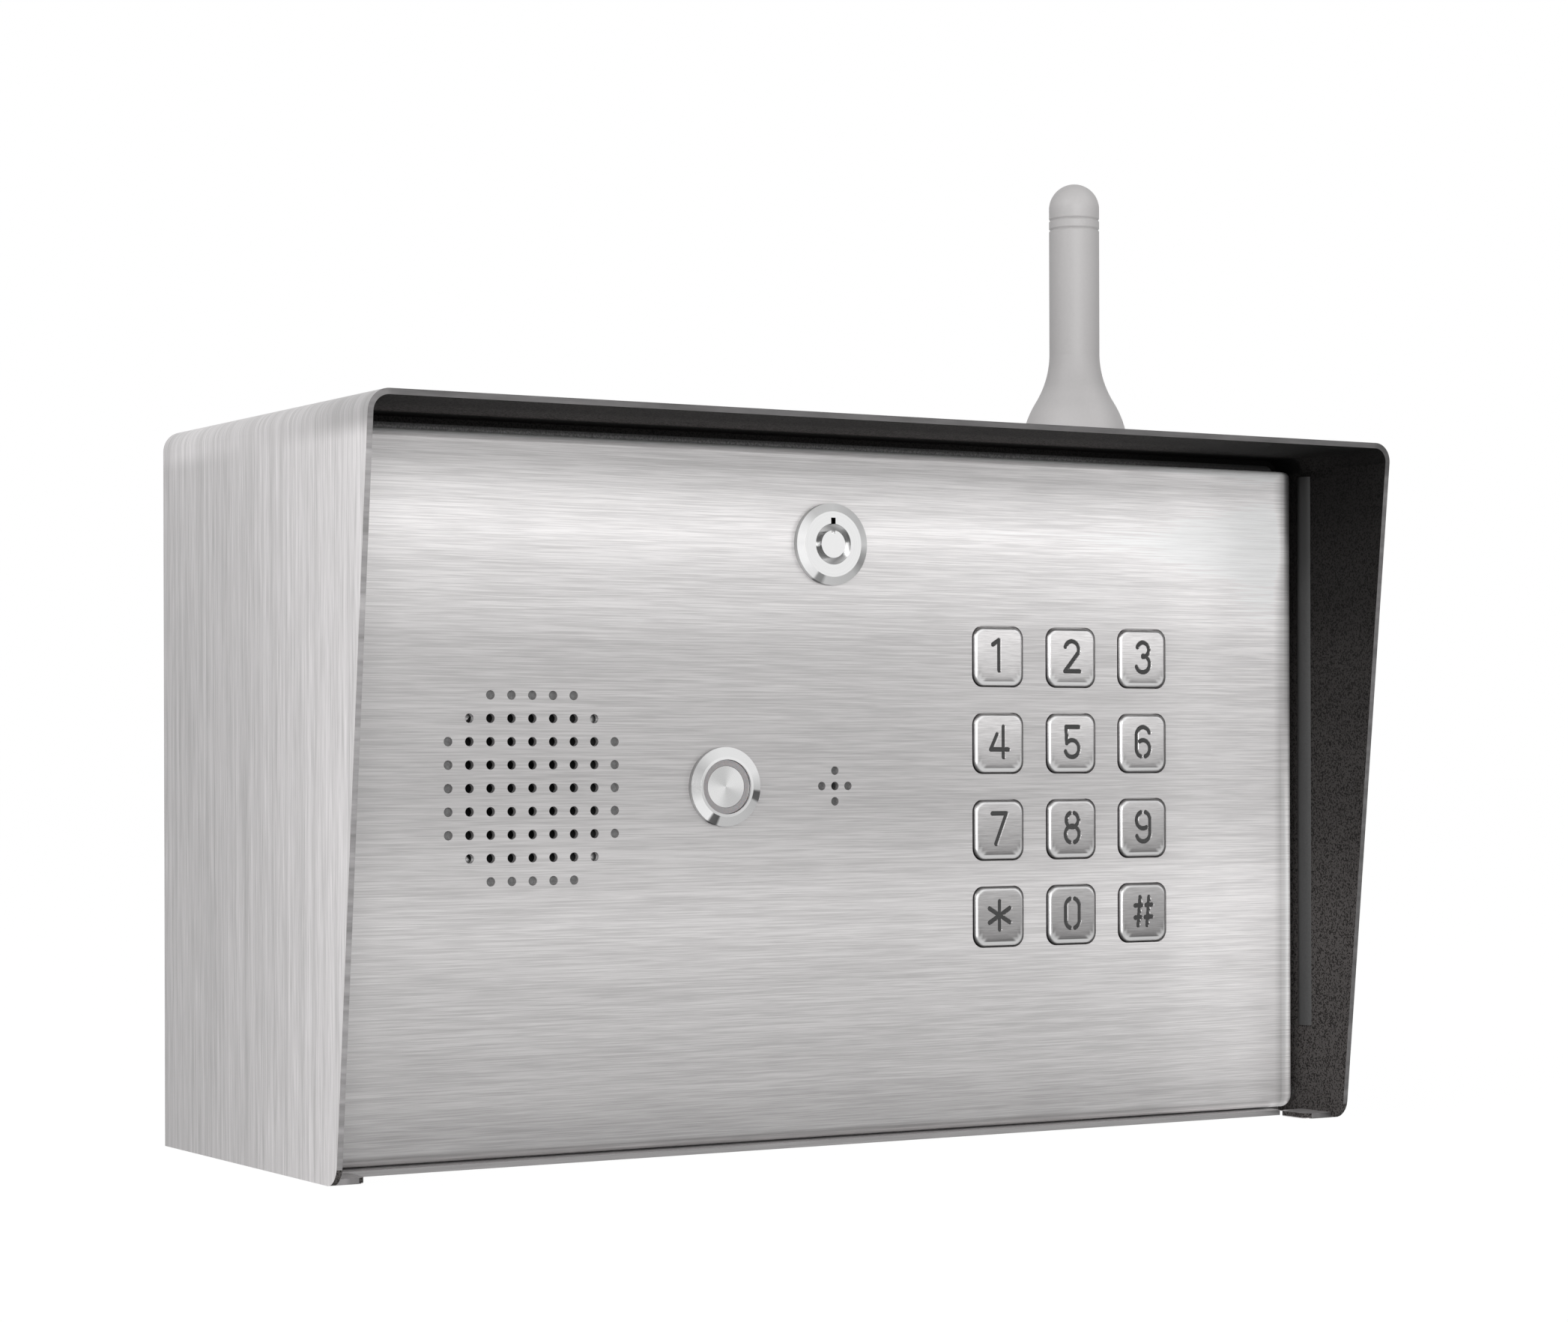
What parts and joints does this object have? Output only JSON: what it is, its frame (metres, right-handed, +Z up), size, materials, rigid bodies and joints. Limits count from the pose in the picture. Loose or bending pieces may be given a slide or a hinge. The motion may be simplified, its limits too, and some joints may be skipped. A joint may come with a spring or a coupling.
{
  "type": "gooseneck intercom",
  "caption": "Hooded stainless intercom with a drop-down door carrying a speaker grille, call button, microphone, cam lock and keypad, and a stub antenna on top.",
  "frame": {"origin": "under the middle of the whole, on the plane of the box's underside", "axes": "+X to the right as seen from the front, +Y to the rear, +Z up towards the hood and the antenna"},
  "size_m": [0.314, 0.135, 0.2736],
  "materials": {
    "brushed_stainless": "brushed",
    "bright_metal": "polished",
    "plated_steel": "zinc plated",
    "ferrite": "matte",
    "gilt_brass": "polished",
    "key_metal": "satin",
    "antenna_plastic": "matte",
    "black_rubber": "matte",
    "foam": "matte",
    "silicone": "matte",
    "moulded_plastic": "matte",
    "circuit_board": "satin",
    "cone_paper": "matte",
    "clear_plastic": "frosted",
    "tin_can": "satin"
  },
  "bodies": {
    "case": {"hood_cover": "brushed_stainless", "back_box": "brushed_stainless", "box_flange": "brushed_stainless", "sill_angle": "brushed_stainless", "door_side_strips": "black_rubber", "pivot_pins": "bright_metal", "mount_plate": "brushed_stainless", "cable_grommet": "black_rubber", "board_standoffs": "plated_steel", "main_board": "circuit_board", "board_screws": "plated_steel", "terminal_block": "moulded_plastic", "relays": "moulded_plastic", "radio_module": "tin_can", "antenna_whip": "antenna_plastic", "antenna_gasket": "black_rubber", "antenna_nut": "plated_steel", "antenna_connector": "gilt_brass"},
    "door": {"door_panel": "brushed_stainless", "door_gasket": "foam", "speaker_gasket": "black_rubber", "speaker_basket": "plated_steel", "speaker_cone": "cone_paper", "speaker_magnet": "ferrite", "speaker_nuts": "plated_steel", "mic_boot": "black_rubber", "mic_capsule": "tin_can", "button_body": "bright_metal", "button_ring": "clear_plastic", "button_nut": "plated_steel", "lock_shell": "bright_metal", "lock_nut": "plated_steel", "keypad_frame": "moulded_plastic", "keypad_mat": "silicone", "keypad_board": "circuit_board", "keypad_nuts": "plated_steel"},
    "lock": {"lock_spindle": "bright_metal", "lock_cam": "plated_steel", "cam_nut": "plated_steel"},
    "call_button": {"button_disc": "bright_metal"},
    "key_1_body": {"key_1": "key_metal"},
    "key_2_body": {"key_2": "key_metal"},
    "key_3_body": {"key_3": "key_metal"},
    "key_4_body": {"key_4": "key_metal"},
    "key_5_body": {"key_5": "key_metal"},
    "key_6_body": {"key_6": "key_metal"},
    "key_7_body": {"key_7": "key_metal"},
    "key_8_body": {"key_8": "key_metal"},
    "key_9_body": {"key_9": "key_metal"},
    "key_star_body": {"key_star": "key_metal"},
    "key_0_body": {"key_0": "key_metal"},
    "key_hash_body": {"key_hash": "key_metal"}
  },
  "joints": [
    {"name": "door_hinge", "type": "hinge", "parent": "case", "child": "door", "pos_m": [0, -0.023, 0.0059], "axis": [1, 0, 0], "range_deg": [0, 90]},
    {"name": "lock_turn", "type": "hinge", "parent": "door", "child": "lock", "pos_m": [-0.0044, -0.027, 0.1615], "axis": [0, -1, 0], "range_deg": [0, 90]},
    {"name": "call_button_press", "type": "slide", "parent": "door", "child": "call_button", "axis": [0, 1, 0], "range_m": [0, 0.0015], "stiffness_N_per_m": 800, "springref_m": -0.001},
    {"name": "key_1_press", "type": "slide", "parent": "door", "child": "key_1_body", "axis": [0, 1, 0], "range_m": [0, 0.001], "stiffness_N_per_m": 600, "springref_m": -0.001},
    {"name": "key_2_press", "type": "slide", "parent": "door", "child": "key_2_body", "axis": [0, 1, 0], "range_m": [0, 0.001], "stiffness_N_per_m": 600, "springref_m": -0.001},
    {"name": "key_3_press", "type": "slide", "parent": "door", "child": "key_3_body", "axis": [0, 1, 0], "range_m": [0, 0.001], "stiffness_N_per_m": 600, "springref_m": -0.001},
    {"name": "key_4_press", "type": "slide", "parent": "door", "child": "key_4_body", "axis": [0, 1, 0], "range_m": [0, 0.001], "stiffness_N_per_m": 600, "springref_m": -0.001},
    {"name": "key_5_press", "type": "slide", "parent": "door", "child": "key_5_body", "axis": [0, 1, 0], "range_m": [0, 0.001], "stiffness_N_per_m": 600, "springref_m": -0.001},
    {"name": "key_6_press", "type": "slide", "parent": "door", "child": "key_6_body", "axis": [0, 1, 0], "range_m": [0, 0.001], "stiffness_N_per_m": 600, "springref_m": -0.001},
    {"name": "key_7_press", "type": "slide", "parent": "door", "child": "key_7_body", "axis": [0, 1, 0], "range_m": [0, 0.001], "stiffness_N_per_m": 600, "springref_m": -0.001},
    {"name": "key_8_press", "type": "slide", "parent": "door", "child": "key_8_body", "axis": [0, 1, 0], "range_m": [0, 0.001], "stiffness_N_per_m": 600, "springref_m": -0.001},
    {"name": "key_9_press", "type": "slide", "parent": "door", "child": "key_9_body", "axis": [0, 1, 0], "range_m": [0, 0.001], "stiffness_N_per_m": 600, "springref_m": -0.001},
    {"name": "key_star_press", "type": "slide", "parent": "door", "child": "key_star_body", "axis": [0, 1, 0], "range_m": [0, 0.001], "stiffness_N_per_m": 600, "springref_m": -0.001},
    {"name": "key_0_press", "type": "slide", "parent": "door", "child": "key_0_body", "axis": [0, 1, 0], "range_m": [0, 0.001], "stiffness_N_per_m": 600, "springref_m": -0.001},
    {"name": "key_hash_press", "type": "slide", "parent": "door", "child": "key_hash_body", "axis": [0, 1, 0], "range_m": [0, 0.001], "stiffness_N_per_m": 600, "springref_m": -0.001}
  ]
}
